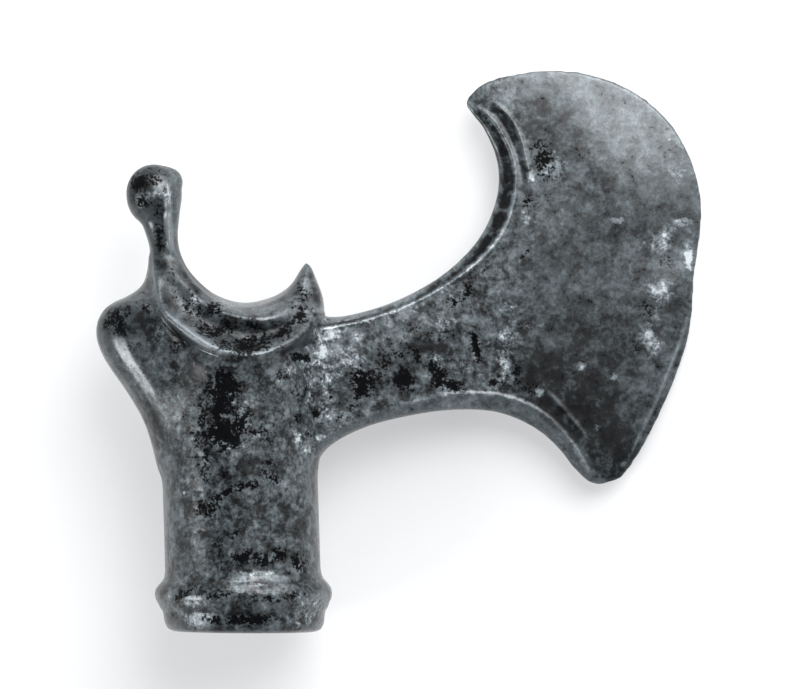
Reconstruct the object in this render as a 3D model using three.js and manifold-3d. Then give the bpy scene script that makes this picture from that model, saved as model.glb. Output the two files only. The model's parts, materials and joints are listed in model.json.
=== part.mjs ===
// Bronze axe head of Near Eastern crescent type, cast in one piece: a round socket with a collar
// at its mouth, a lobed butt, a notched crest with a knob and a horn, and a waisted blade that
// fans out to a crescent cutting edge. Millimetres.
//
// The axe is drawn in its own frame: x runs from the socket's axis towards the blade, y up the
// socket from its mouth towards the crest, and z across the blade. It is then turned onto its back
// and laid on the ground, z = 0, with the origin under the middle of it.
import * as THREE from "three";
import { mergeVertices } from "three/addons/utils/BufferGeometryUtils.js";
import Module from "manifold-3d";

const wasm = await Module();
wasm.setup();

// Socket
const SOCKET_RADIUS = 14.9;
const SOCKET_TOP = 60;
const COLLAR_RADIUS = 17;
const COLLAR_HEIGHT = 7;
const LIP_RADIUS = 15.4;
const BAND_RADIUS = 15.1;
const BAND_HEIGHT = 26.5;
const MOUTH_SLANT = 0.035;
const SLANT_HEIGHT = 20;
const SHAFT_RADIUS = 12;
const SHAFT_DEPTH = 52;

// Knob on the rear horn, and the small corner that stands out of its front
const KNOB = [
  { centre: [-14.85, 83.9, 0], radii: [5.4, 5.8, 5.6] },
  { centre: [-11.6, 87.1, 0], radii: [2.5, 2.3, 2.8] },
];

// Blade
const NECK_HALF = 4.6;
const EDGE_HALF = 0.35;
const RIDGE_RISE = 0.5;
// How the lines across the blade bow: their pull as a share of their length in the neck, and what
// the cutting edge adds. The powers of the reach say how late the lines turn into the tips, how
// late they bend onto the cutting edge, and how late the border's ridge dies away.
const NECK_PULL = 0.33;
const EDGE_PULL = 0.25;
const PULL_POWER = 3;
const TIP_POWER = 6;
const BEND_POWER = 4;
const RIDGE_POWER = 8;

// Lying on the ground
const ROLL = THREE.MathUtils.degToRad(10.15);
const PITCH = THREE.MathUtils.degToRad(-0.7);
const FLAT_SPOT = 0.12;

// Fineness of the facets: flats round a turned form, points round a lofted or ball-shaped one,
// sections of the butt and the crest, and the blade's columns and rows.
const TURNED_FLATS = 48;
const POINTS_AROUND = 24;
const BALL_RINGS = 16;
const BUTT_SECTIONS = 26;
const CREST_SECTIONS = 40;
const BLADE_COLUMNS = 28;
const MIDDLE_ROWS = 16;
const HALVINGS = 24;

// Corners that the joins leave closer together than this become one.
const WELD = 0.01;

// Outline of the blade: the bay above the neck, the bay below it, and the cutting edge with its
// old nick. The bays start inside the socket.
const UPPER_BAY = splineThrough([
  [6, 58.4], [17, 59.3], [26, 60.9], [34, 63.8], [41.5, 68.3],
  [47.6, 74.6], [50.9, 82.2], [51, 89], [48.4, 95.5], [46.2, 98.1], [45.2, 99.6],
]);
const LOWER_BAY = splineThrough([
  [6, 29], [14.6, 32.9], [18.4, 35.8], [25, 38.7], [34, 40.6], [42, 41.3], [50, 40.5],
  [57, 37.2], [61.7, 32.7], [64.6, 28.4], [66.6, 26.2], [69, 25.4],
]);
const CUTTING_EDGE = splineThrough([
  [45.2, 99.6], [46.3, 101.6], [49.2, 103.8], [54.5, 105.2], [62, 105.8], [70, 104.6], [78, 101],
  [84.3, 95.2], [88.2, 88], [89.9, 80.5], [89.6, 73.5], [88.5, 68.5], [87.9, 62],
  [86.9, 54.5], [83.6, 45.2], [78.4, 34.8], [74.4, 28.9], [71.8, 26.5], [69, 25.4],
]);

// Half the blade's thickness along its reach, from the socket (0) to the cutting edge (1).
const FACE = splineThrough([
  [0, NECK_HALF], [0.2, 4], [0.4, 2.9], [0.6, 2.2], [0.8, 1.7], [0.94, 1.2], [1, EDGE_HALF],
]);

// Distance of the border's ridge from each bay, along the blade's reach.
const UPPER_RIDGE = splineThrough([
  [0, 2], [0.32, 1.6], [0.5, 2.1], [0.68, 3.7], [0.8, 3], [0.92, 2.3], [1, 0.9],
]);
const LOWER_RIDGE = splineThrough([
  [0, 1.8], [0.45, 1.7], [0.6, 2.6], [0.72, 3.4], [0.85, 2.5], [1, 1.6],
]);

// Rows of the border: distance in from the bay as a share of the ridge's, share of the face's
// thickness, and rise above the face. The outermost rows round the rim.
const BORDER = [
  { inset: 0, thickness: 0.42, rise: 0 },
  { inset: 0.2, thickness: 0.8, rise: 0 },
  { inset: 0.45, thickness: 1, rise: 0.1 },
  { inset: 0.75, thickness: 1, rise: 0 },
  { inset: 1, thickness: 1, rise: RIDGE_RISE },
  { inset: 1.3, thickness: 1, rise: -0.15 },
  { inset: 1.85, thickness: 1, rise: 0 },
];

// Butt: height, rear reach, front reach (inside the socket) and half thickness of its sections.
const BUTT = [
  [27, -14, 0, 6], [31, -15.6, 0, 8], [36, -16.7, 0, 9], [41, -18.2, 0, 9.5],
  [47, -21.5, 0, 9.8], [52.5, -25.1, -2, 9.6], [57, -26.8, -4, 9.2], [60.5, -26.4, -6, 8.5],
  [63.2, -24.4, -8, 7.4], [65.2, -20, -9, 5.8], [67.2, -17.5, -10.5, 4.6], [70, -16.6, -11.5, 3.6],
  [73, -16.2, -12.5, 2.5],
];

// Crest, from the tip of the front horn round the notch to the top of the rear horn. Each section
// runs from the notch to the crest's root and has a half thickness; "ridged" goes from 0 (oval, in
// the horns) to 1 (a hollow face below the rim with a raised ridge at the root).
const CREST = [
  { notch: [13.9, 70.5], root: [15, 69.2], half: 1.2, ridged: 0 },
  { notch: [12.7, 69], root: [17.1, 62], half: 5.2, ridged: 0.4 },
  { notch: [10.6, 66], root: [15.2, 56.6], half: 9.6, ridged: 0.9 },
  { notch: [7, 63.9], root: [9.6, 52.4], half: 14, ridged: 1 },
  { notch: [2, 63], root: [1.4, 50.4], half: 15.7, ridged: 1 },
  { notch: [-2.8, 64.3], root: [-9.4, 55.2], half: 13.4, ridged: 1 },
  { notch: [-6.4, 67], root: [-14.8, 60.6], half: 9.8, ridged: 1 },
  { notch: [-9.3, 70.8], root: [-15.9, 67.6], half: 6.4, ridged: 0.5 },
  { notch: [-10.5, 75.2], root: [-16, 73.8], half: 4.4, ridged: 0.1 },
  { notch: [-9.8, 81.8], root: [-17.4, 79.8], half: 3.8, ridged: 0 },
  { notch: [-9.3, 86.8], root: [-16, 86.6], half: 3, ridged: 0 },
];

// Share of a ridged section's half thickness, from the notch (0) to the root (1).
const RIDGED_SECTION = splineThrough([
  [0, 0], [0.05, 0.36], [0.18, 0.58], [0.4, 0.7], [0.6, 0.8], [0.78, 1], [0.9, 0.92], [1, 0],
]);

function splineThrough(points) {
  return new THREE.SplineCurve(points.map(([x, y]) => new THREE.Vector2(x, y)));
}

// Value at x on a spline whose points run along x.
function valueAt(curve, x) {
  let low = 0;
  let high = 1;
  for (let step = 0; step < HALVINGS; step += 1) {
    const middle = (low + high) / 2;
    if (curve.getPoint(middle).x < x) low = middle;
    else high = middle;
  }
  return curve.getPoint(low).y;
}

// Values between the listed ones, at a share of the way through the list.
function along(list, share) {
  const curve = new THREE.CatmullRomCurve3(
    list.map((values) => new THREE.Vector3(...values)), false, "centripetal");
  return curve.getPoint(share);
}

// A closed geometry as a solid, once vertices closer than the tolerance are made one and the
// triangles that this collapses are dropped.
function solidFrom(geometry, tolerance = 1e-4) {
  geometry.deleteAttribute("normal");
  geometry.deleteAttribute("uv");
  const merged = mergeVertices(geometry, tolerance);
  const kept = [];
  const index = merged.index.array;
  for (let i = 0; i < index.length; i += 3) {
    const [a, b, c] = index.slice(i, i + 3);
    if (a !== b && b !== c && c !== a) kept.push(a, b, c);
  }
  return new wasm.Manifold(new wasm.Mesh({
    numProp: 3,
    vertProperties: new Float32Array(merged.attributes.position.array),
    triVerts: new Uint32Array(kept),
  }));
}

function geometryFrom(solid) {
  const mesh = solid.getMesh();
  const geometry = new THREE.BufferGeometry();
  geometry.setAttribute("position", new THREE.BufferAttribute(mesh.vertProperties, 3));
  geometry.setIndex(new THREE.BufferAttribute(mesh.triVerts, 1));
  return geometry;
}

// A closed body lofted through sections: sectionAt(share, angle) gives the skin, and the end caps
// fan out from the middle of the first and last sections.
function loft(steps, around, sectionAt) {
  const geometry = new THREE.CylinderGeometry(1, 1, 1, around, steps);
  const position = geometry.attributes.position;
  const point = new THREE.Vector3();
  for (let i = 0; i < position.count; i += 1) {
    point.fromBufferAttribute(position, i);
    const share = point.y + 0.5;
    if (Math.hypot(point.x, point.z) > 0.5) {
      point.copy(sectionAt(share, Math.atan2(point.z, point.x)));
    } else {
      point.copy(sectionAt(share, 0)).lerp(sectionAt(share, Math.PI), 0.5);
    }
    position.setXYZ(i, point.x, point.y, point.z);
  }
  return solidFrom(geometry);
}

// Outside of the socket, turned about its axis: lip, collar, a faint band, and a top that ends
// inside the crest. Its lower end is slanted, because the mouth isn't quite square to the axis.
function makeSocket() {
  const profile = [
    [0, 0], [LIP_RADIUS - 1.9, 0], [LIP_RADIUS - 0.7, 0.5], [LIP_RADIUS, 1.9],
    [LIP_RADIUS + 0.1, 3.3], [COLLAR_RADIUS - 0.6, COLLAR_HEIGHT - 2.4],
    [COLLAR_RADIUS - 0.1, COLLAR_HEIGHT - 1.3], [COLLAR_RADIUS, COLLAR_HEIGHT],
    [COLLAR_RADIUS - 0.4, COLLAR_HEIGHT + 1.4], [COLLAR_RADIUS - 1.3, COLLAR_HEIGHT + 2.5],
    [SOCKET_RADIUS + 0.2, COLLAR_HEIGHT + 3.6], [SOCKET_RADIUS, COLLAR_HEIGHT + 5.5],
    [SOCKET_RADIUS, BAND_HEIGHT - 0.8], [BAND_RADIUS, BAND_HEIGHT], [SOCKET_RADIUS, BAND_HEIGHT + 0.8],
    [SOCKET_RADIUS, SHAFT_DEPTH], [SOCKET_RADIUS - 2, SHAFT_DEPTH + 3],
    [SOCKET_RADIUS - 6, SOCKET_TOP - 2], [0, SOCKET_TOP],
  ];
  const points = profile.map(([radius, height]) => new THREE.Vector2(radius, height));
  const turned = new THREE.LatheGeometry(points, TURNED_FLATS);
  const position = turned.attributes.position;
  for (let i = 0; i < position.count; i += 1) {
    const height = position.getY(i);
    const fade = Math.max(0, 1 - height / SLANT_HEIGHT);
    position.setY(i, height - MOUTH_SLANT * fade * position.getX(i));
  }
  return solidFrom(turned);
}

function makeShaftHole() {
  const below = 2;
  const length = SHAFT_DEPTH + below;
  const hole = new THREE.CylinderGeometry(SHAFT_RADIUS, SHAFT_RADIUS, length, TURNED_FLATS);
  return solidFrom(hole.translate(0, length / 2 - below, 0));
}

// Lobe behind the socket: upright stack of rounded sections.
function makeButt() {
  const places = BUTT.map(([height, rear, front]) => [rear, height, front]);
  const halves = BUTT.map(([height, , , half]) => [half, height, 0]);
  return loft(BUTT_SECTIONS, POINTS_AROUND, (share, angle) => {
    const place = along(places, share);
    const half = along(halves, share).x;
    const middle = (place.x + place.z) / 2;
    const reach = (place.z - place.x) / 2;
    return new THREE.Vector3(
      middle + reach * Math.cos(angle), place.y, half * Math.sin(angle));
  });
}

// Crest: sections swept round the notch, from the front horn to the rear one.
function makeCrest() {
  const notches = CREST.map(({ notch, half }) => [...notch, half]);
  const roots = CREST.map(({ root, ridged }) => [...root, ridged]);
  return loft(CREST_SECTIONS, POINTS_AROUND, (share, angle) => {
    const notch = along(notches, share);
    const root = along(roots, share);
    const across = (1 - Math.cos(angle)) / 2;
    const oval = Math.sin(angle);
    const hollow = Math.sign(oval) * valueAt(RIDGED_SECTION, across);
    const ridged = THREE.MathUtils.clamp(root.z, 0, 1);
    return new THREE.Vector3(
      THREE.MathUtils.lerp(notch.x, root.x, across),
      THREE.MathUtils.lerp(notch.y, root.y, across),
      notch.z * THREE.MathUtils.lerp(oval, hollow, ridged));
  });
}

function makeKnob() {
  const [knob, corner] = KNOB.map(({ centre, radii }) => solidFrom(
    new THREE.SphereGeometry(1, POINTS_AROUND, BALL_RINGS).scale(...radii).translate(...centre)));
  return knob.add(corner);
}

// The line across the blade from the upper bay to the lower one, at a reach of 0 (socket) to 1
// (cutting edge). It leaves both bays square and turns into the cutting edge at the tips.
function lineAcross(reach) {
  const top = UPPER_BAY.getPointAt(reach);
  const bottom = LOWER_BAY.getPointAt(reach);
  const downFromTop = UPPER_BAY.getTangentAt(reach);
  downFromTop.set(downFromTop.y, -downFromTop.x);
  downFromTop.lerp(CUTTING_EDGE.getTangentAt(0), reach ** TIP_POWER).normalize();
  const upFromBottom = LOWER_BAY.getTangentAt(reach);
  upFromBottom.set(-upFromBottom.y, upFromBottom.x);
  upFromBottom.lerp(CUTTING_EDGE.getTangentAt(1).negate(), reach ** TIP_POWER).normalize();
  const pull = top.distanceTo(bottom) * (NECK_PULL + EDGE_PULL * reach ** PULL_POWER);
  return new THREE.CubicBezierCurve(
    top, top.clone().addScaledVector(downFromTop, pull),
    bottom.clone().addScaledVector(upFromBottom, pull), bottom);
}

// Blade: a fine slab bent onto the lines across it, with rows along both bays for the border.
function makeBlade() {
  const rows = 2 * (BORDER.length - 1) + MIDDLE_ROWS;
  const slab = new THREE.BoxGeometry(1, 1, 2, BLADE_COLUMNS, rows, 2);
  const position = slab.attributes.position;
  const lastLine = lineAcross(1);
  const columns = [];
  for (let column = 0; column <= BLADE_COLUMNS; column += 1) {
    const reach = column / BLADE_COLUMNS;
    const line = lineAcross(reach);
    const bent = reach ** BEND_POWER;
    const length = THREE.MathUtils.lerp(line.getLength(), CUTTING_EDGE.getLength(), bent);
    const upperRidge = valueAt(UPPER_RIDGE, reach) / length;
    const lowerRidge = valueAt(LOWER_RIDGE, reach) / length;
    const face = valueAt(FACE, reach);
    columns.push({ bent, line, upperRidge, lowerRidge, face, fade: 1 - reach ** RIDGE_POWER });
  }
  for (let i = 0; i < position.count; i += 1) {
    const column = columns[Math.round((position.getX(i) + 0.5) * BLADE_COLUMNS)];
    const row = Math.round((0.5 - position.getY(i)) * rows);
    const side = position.getZ(i);
    const border = BORDER[Math.min(row, rows - row, BORDER.length - 1)];
    const start = border.inset * column.upperRidge;
    const end = 1 - border.inset * column.lowerRidge;
    let across = row < rows / 2 ? start : end;
    if (border === BORDER.at(-1)) {
      across = THREE.MathUtils.lerp(start, end, (row - BORDER.length + 1) / MIDDLE_ROWS);
    }
    const point = column.line.getPointAt(across);
    const bend = CUTTING_EDGE.getPointAt(across).sub(lastLine.getPointAt(across));
    point.addScaledVector(bend, column.bent);
    const half = column.face * border.thickness + border.rise * column.fade;
    position.setXYZ(i, point.x, point.y, side * half);
  }
  return solidFrom(slab);
}

function castAxeHead() {
  const cast = makeSocket().add(makeButt()).add(makeCrest()).add(makeKnob()).add(makeBlade());
  return geometryFrom(cast.subtract(makeShaftHole()));
}

// The axe turned onto its back, centred over the origin. The ground is a block that reaches just
// above its lowest points, the backs of the collar and the crest and a spot on the cutting edge,
// and cutting it away leaves a small flat on each of them.
function layDown(geometry) {
  geometry.applyMatrix4(new THREE.Matrix4().makeRotationFromEuler(new THREE.Euler(PITCH, ROLL, 0)));
  geometry.computeBoundingBox();
  const { min, max } = geometry.boundingBox;
  geometry.translate(-(min.x + max.x) / 2, -(min.y + max.y) / 2, -min.z - FLAT_SPOT);
  const { x: breadth, y: length, z: height } = geometry.boundingBox.getSize(new THREE.Vector3());
  const ground = new THREE.BoxGeometry(2 * breadth, 2 * length, height).translate(0, 0, -height / 2);
  const lying = geometryFrom(solidFrom(geometry).subtract(solidFrom(ground)));
  const welded = geometryFrom(solidFrom(lying, WELD));
  welded.computeVertexNormals();
  return welded;
}

const bronze = new THREE.MeshStandardMaterial({
  name: "patinated bronze", color: 0x4a5053, roughness: 0.5, metalness: 0.8,
});

const axeHead = new THREE.Mesh(layDown(castAxeHead()), bronze);
axeHead.name = "axe_head";

const model = new THREE.Group();
model.add(axeHead);

export default model;
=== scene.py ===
import json
import math

import bmesh
import bpy
import numpy as np
from mathutils import Matrix, Vector, noise
from mathutils.kdtree import KDTree


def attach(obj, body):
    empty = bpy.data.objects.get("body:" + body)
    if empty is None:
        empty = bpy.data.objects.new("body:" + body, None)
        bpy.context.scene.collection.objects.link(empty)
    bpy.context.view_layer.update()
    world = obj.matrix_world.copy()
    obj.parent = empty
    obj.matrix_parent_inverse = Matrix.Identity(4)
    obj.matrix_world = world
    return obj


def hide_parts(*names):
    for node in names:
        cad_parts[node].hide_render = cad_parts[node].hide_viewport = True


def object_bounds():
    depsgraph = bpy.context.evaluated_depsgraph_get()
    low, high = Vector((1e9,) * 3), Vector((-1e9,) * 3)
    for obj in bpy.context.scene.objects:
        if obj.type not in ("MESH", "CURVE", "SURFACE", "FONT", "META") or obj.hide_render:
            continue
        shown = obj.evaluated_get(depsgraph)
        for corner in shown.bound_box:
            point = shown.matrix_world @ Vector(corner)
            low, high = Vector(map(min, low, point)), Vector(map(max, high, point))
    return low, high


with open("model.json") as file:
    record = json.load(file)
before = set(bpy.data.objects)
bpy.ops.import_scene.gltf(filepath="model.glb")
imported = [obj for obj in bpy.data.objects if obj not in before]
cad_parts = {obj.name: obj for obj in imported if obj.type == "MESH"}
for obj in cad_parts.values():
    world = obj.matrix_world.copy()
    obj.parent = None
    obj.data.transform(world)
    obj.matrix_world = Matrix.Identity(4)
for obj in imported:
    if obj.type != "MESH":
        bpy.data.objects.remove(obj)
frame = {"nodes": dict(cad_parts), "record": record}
cad_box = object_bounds()

# ---------------------------------------------------------------------------------------------
# How the head lies. It rests on the back of its collar, the back of its crest and one spot of
# the cutting edge, so its socket is nearly level and its blade slopes down to the ground. All
# places on it are given in its own frame: u towards the blade, v up the socket, w out of the face.
MM = 0.001
SOCKET_DEPTH = 52 * MM
BLADE_SLOPE = math.radians(10.15)

mounts = {mount["name"]: mount for mount in frame["record"]["mounts"]}
up_socket = -Vector(mounts["socket_end"]["axis"])
to_blade = Vector((math.cos(BLADE_SLOPE), 0, -math.sin(BLADE_SLOPE)))
to_blade = (to_blade - to_blade.dot(up_socket) * up_socket).normalized()
out_of_face = to_blade.cross(up_socket)
mouth_centre = Vector(mounts["socket_end"]["pos_m"]) - SOCKET_DEPTH * up_socket
head_frame = Matrix((to_blade, up_socket, out_of_face)).transposed()


def on_head(u, v, w):
    """The place in the scene of a point of the head, given in millimetres in its own frame."""
    return mouth_centre + head_frame @ (Vector((u, v, w)) * MM)


def add_object(name, mesh):
    """A new object of that name that shows the mesh."""
    added = bpy.data.objects.new(name, mesh)
    bpy.context.scene.collection.objects.link(added)
    return added


# ---------------------------------------------------------------------------------------------
# Camera. A long lens square above the face of the blade, turned a little, so that the socket
# leans to the left. It aims at a spot (u, v) on the neck, and sees 153 mm from side to side.
VIEW_CENTRE = (31.4, 54.1)
VIEW_WIDTH = 153.35 * MM
VIEW_DISTANCE = 2.0
VIEW_TURN = math.radians(1.7)
SENSOR_WIDTH = 36
FARTHEST = 20

camera = add_object("camera", bpy.data.cameras.new("camera"))
camera.data.sensor_width = SENSOR_WIDTH
camera.data.lens = SENSOR_WIDTH * VIEW_DISTANCE / VIEW_WIDTH
camera.data.clip_end = FARTHEST
right = math.cos(VIEW_TURN) * to_blade - math.sin(VIEW_TURN) * up_socket
above = math.sin(VIEW_TURN) * to_blade + math.cos(VIEW_TURN) * up_socket
camera.matrix_world = Matrix.Translation(on_head(*VIEW_CENTRE, 0) + VIEW_DISTANCE * out_of_face) @ (
    Matrix((right, above, out_of_face)).transposed().to_4x4())
bpy.context.scene.camera = camera
bpy.context.scene.view_settings.view_transform = "Standard"


# ---------------------------------------------------------------------------------------------
# Ground and studio light. A sheet of paper lit from below, so that it is white and its shadows
# stay pale. Soft lamps from the upper right draw the sheen on the blade, others from above and
# from the left pick out the rounded edges, and a pale glow lies all round under a darker ceiling.
PAPER_REACH = 3
PAPER_COLOUR = "979695"
PAPER_LIGHT = "f3f4f6"
PAPER_GLOW = 0.53
GLOW_COLOUR = "eff2f5"
GLOW_STRENGTH = 0.85
CEILING_STRENGTH = 0.2
# Height, from 0 at the horizon to 1 overhead, over which the glow gives way to the ceiling.
CEILING_EDGE = (0.3, 0.75)
LAMP_COLOUR = "f4f6f8"
# Each lamp: direction (u, v, w) from the head, distance and side in metres, and watts.
LAMPS = {
    "key_light": ((0.3, 0.6, 1), 0.75, 0.5, 8.4),
    "window_light": ((0.8, 1, 0.8), 1.1, 1.1, 16),
    "top_light": ((0, 1, 0.45), 1.3, 0.5, 10),
    "side_light": ((-1, -0.35, 0.4), 1.4, 0.5, 15),
}


def linear(colour):
    """An sRGB hex colour as linear red, green, blue and alpha."""
    shares = [int(colour[i:i + 2], 16) / 255 for i in (0, 2, 4)]
    return (*(c / 12.92 if c <= 0.04045 else ((c + 0.055) / 1.055) ** 2.4 for c in shares), 1)


def add_node(tree, kind, inputs=(), **settings):
    """A node with its settings. Its inputs, named in a dict or else in their order, are values,
    sockets, or nodes, which give their first output."""
    node = tree.nodes.new(kind)
    for name, value in settings.items():
        setattr(node, name, value)
    for socket, value in inputs.items() if isinstance(inputs, dict) else enumerate(inputs):
        if isinstance(value, bpy.types.Node):
            value = value.outputs[0]
        if isinstance(value, bpy.types.NodeSocket):
            tree.links.new(value, node.inputs[socket])
        else:
            node.inputs[socket].default_value = value
    return node


def new_material(name):
    """A named material with an empty node tree."""
    made = bpy.data.materials.new(name)
    made.use_nodes = True
    made.node_tree.nodes.clear()
    return made


ground_bm = bmesh.new()
bmesh.ops.create_grid(ground_bm, x_segments=1, y_segments=1, size=PAPER_REACH)
ground_mesh = bpy.data.meshes.new("ground")
ground_bm.to_mesh(ground_mesh)
ground_bm.free()
ground = add_object("ground", ground_mesh)
paper = new_material("white_paper")
paper_shader = add_node(paper.node_tree, "ShaderNodeBsdfPrincipled", {
    "Base Color": linear(PAPER_COLOUR), "Roughness": 0.9, "Specular IOR Level": 0.2,
    "Emission Color": linear(PAPER_LIGHT), "Emission Strength": PAPER_GLOW})
add_node(paper.node_tree, "ShaderNodeOutputMaterial", {"Surface": paper_shader})
ground_mesh.materials.append(paper)

sky = bpy.data.worlds.new("studio")
bpy.context.scene.world = sky
sky.use_nodes = True
sky.node_tree.nodes.clear()
direction = add_node(sky.node_tree, "ShaderNodeTexCoord")
height = add_node(sky.node_tree, "ShaderNodeSeparateXYZ", {"Vector": direction.outputs["Generated"]})
strength = add_node(sky.node_tree, "ShaderNodeMapRange", {
    "Value": height.outputs["Z"], "From Min": CEILING_EDGE[0], "From Max": CEILING_EDGE[1],
    "To Min": GLOW_STRENGTH, "To Max": CEILING_STRENGTH}, interpolation_type="SMOOTHSTEP")
glow = add_node(sky.node_tree, "ShaderNodeBackground", {
    "Color": linear(GLOW_COLOUR), "Strength": strength})
add_node(sky.node_tree, "ShaderNodeOutputWorld", {"Surface": glow})

for name, (towards, distance, side, watts) in LAMPS.items():
    lamp = add_object(name, bpy.data.lights.new(name, "AREA"))
    lamp.data.size = side
    lamp.data.energy = watts
    lamp.data.color = linear(LAMP_COLOUR)[:3]
    offset = (head_frame @ Vector(towards)).normalized() * distance
    lamp.matrix_world = Matrix.Translation(on_head(*VIEW_CENTRE, 0) + offset) @ (
        offset.to_track_quat("Z", "Y").to_matrix().to_4x4())


# ---------------------------------------------------------------------------------------------
# The casting. The whole head is one pour of tin bronze from a clay mould over a wax model, so
# there are no sharp corners where the neck, butt, crest and knob meet: they run together in
# soft fillets. The fine surface is remade from the head's solid and softened there.
SKIN_STEP = 0.3 * MM
MERGE_WITHIN = 0.001 * MM
# Each round of softening draws a point this share of the way to the mean of its neighbours.
DRAW = 0.6
CAST_ROUNDS = 4
# Heights between which the foot of the butt runs out into the socket.
BUTT_FOOT = (23.5, 30)
BUTT_FOOT_FADE = 1.5
BUTT_FOOT_ROUNDS = 60
# Where the casting runs together in hollow corners: the box (u, v, w) of the place, and how many
# rounds the metal runs into it.
CORNERS = {
    "butt_and_socket": ((-23, 26, -18), (-5, 66, 18), 2200),
    "neck_root": ((9, 29, -14), (27, 62, 14), 1500),
    "crest_foot": ((-16, 42, -17), (17, 60, 17), 700),
    "knob_and_stem": ((-21, 76, -8), (-8, 91, 8), 500),
}
# How far towards the mean of its neighbours the metal rises in a round, and after how many
# rounds the way out of the skin is worked out again.
FILLING = 0.9
LOOK_AGAIN = 40
# The shaft's hole is left alone: everything within this radius, up to this height.
HOLE_GUARD = (13.4, 52.5)
# The lower line of the crest, under which the corners are filled, and the height above which
# there is only the stem, where they are filled too.
STEM_FROM = 72
CREST_FOOT = [(-20, 99), (-15.4, 99), (-15, 63.7), (-12.8, 60.6), (-9.7, 58), (-7.2, 56), (-4, 54),
              (-0.2, 52.9), (3.6, 52.7), (7.5, 53.7), (11.3, 55.2), (13.9, 57), (15.9, 59.3),
              (17.2, 99), (30, 99)]

cast_bm = bmesh.new()
cast_bm.from_mesh(frame["nodes"]["axe_head"].data)
bmesh.ops.remove_doubles(cast_bm, verts=cast_bm.verts, dist=MERGE_WITHIN)
cast_mesh = bpy.data.meshes.new("axe_casting")
cast_bm.to_mesh(cast_mesh)
cast_bm.free()
axe = add_object("axe_casting", cast_mesh)


def bake_modifier(piece, kind, **settings):
    """The piece's mesh, replaced by what one modifier makes of it."""
    modifier = piece.modifiers.new(kind.lower(), kind)
    for name, value in settings.items():
        setattr(modifier, name, value)
    graph = bpy.context.evaluated_depsgraph_get()
    made = bpy.data.meshes.new_from_object(piece.evaluated_get(graph))
    piece.modifiers.clear()
    old = piece.data
    piece.data = made
    bpy.data.meshes.remove(old)


def head_places(positions):
    """Positions in the scene as u, v, w in millimetres."""
    return (positions - np.array(mouth_centre)) @ np.array(head_frame) / MM


def smooth_step(low, high, value):
    """0 at or below low, 1 at or above high, with a soft S between."""
    share = np.clip((value - low) / (high - low), 0, 1)
    return share * share * (3 - 2 * share)


def interpolate(table, value):
    """The second column of a table at a value of its first column."""
    return np.interp(value, *np.array(table).T)


def read_column(collection, name, width):
    """One property of every element of a mesh, as rows of that width."""
    values = np.empty(len(collection) * width, dtype=np.int32 if name == "vertices" else float)
    collection.foreach_get(name, values)
    return values.reshape(-1, width)


bake_modifier(axe, "REMESH", mode="VOXEL", voxel_size=SKIN_STEP, adaptivity=0)
place = head_places(read_column(axe.data.vertices, "co", 3))
edge_ends = read_column(axe.data.edges, "vertices", 2)
edge_ends = np.concatenate((edge_ends, edge_ends[:, ::-1]))
neighbours = np.bincount(edge_ends[:, 0], minlength=len(place))


def neighbour_mean(values):
    """What the neighbours of each point have on average, column by column."""
    sums = [np.bincount(edge_ends[:, 0], column[edge_ends[:, 1]], len(place))
            for column in values.T]
    return np.stack(sums, 1) / neighbours[:, None]


def soften(weight, rounds):
    """Draws each point towards its neighbours, as strongly as its weight says."""
    weight = DRAW * weight[:, None]
    for _ in range(rounds):
        place[:] += weight * (neighbour_mean(place) - place)


def skin_normals():
    """The normals of the casting as it now stands, in the head's frame."""
    positions = place * MM @ np.array(head_frame).T + np.array(mouth_centre)
    axe.data.vertices.foreach_set("co", positions.ravel())
    axe.data.update()
    return read_column(axe.data.vertex_normals, "vector", 3) @ np.array(head_frame)


def fill_corners(low, high, rounds):
    """Lets the metal run into the hollow corners in a box, outside the shaft's hole."""
    inside = np.all((place > low) & (place < high), axis=1)
    inside &= (np.hypot(place[:, 0], place[:, 2]) > HOLE_GUARD[0]) | (place[:, 1] > HOLE_GUARD[1])
    inside &= (place[:, 1] < interpolate(CREST_FOOT, place[:, 0])) | (place[:, 1] > STEM_FROM)
    inner = edge_ends[inside[edge_ends[:, 0]]]
    chosen = np.flatnonzero(inside)
    own = np.searchsorted(chosen, inner[:, 0])
    other = inner[:, 1]
    for done in range(rounds):
        if done % LOOK_AGAIN == 0:
            normal = skin_normals()[chosen]
        sums = [np.bincount(own, place[other, k], len(chosen)) for k in range(3)]
        pull = np.stack(sums, 1) / neighbours[chosen, None] - place[chosen]
        out = np.sum(pull * normal, axis=1)
        place[chosen] += FILLING * np.maximum(out, 0)[:, None] * normal


soften(np.ones(len(place)), CAST_ROUNDS)
soften(smooth_step(BUTT_FOOT[0], BUTT_FOOT[0] + BUTT_FOOT_FADE, place[:, 1])
       * (1 - smooth_step(BUTT_FOOT[1] - BUTT_FOOT_FADE, BUTT_FOOT[1], place[:, 1])),
       BUTT_FOOT_ROUNDS)

# ---------------------------------------------------------------------------------------------
# Socket and collar. The socket is turned true in the wax: a straight tube, a plump bead round
# the mouth, and a lip below it that narrows to the mouth, whose rim slants a little.
# Its outline: height up the socket, and radius.
SOCKET_PROFILE = [
    (-1, 14.2), (0, 14.45), (0.8, 14.9), (2, 15.3), (3.2, 15.45), (4.2, 15.6), (5.2, 16.25),
    (6.4, 16.85), (7.4, 16.98), (8.3, 16.8), (9.2, 16.15), (10, 15.4), (10.8, 15.05),
    (12, 14.9), (16, 14.88), (60, 14.88)]
MOUTH_SLANT = 0.035
SLANT_HEIGHT = 20
# What is turned: skin this near to the true radius, between these heights, outside the hole.
TURNED_WITHIN = (0.3, 0.8)
TURNED_FROM = (0.9, 1.7)
TURNED_TO = (50, 56)
TURNED_OUTSIDE = (13, 13.8)
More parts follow.
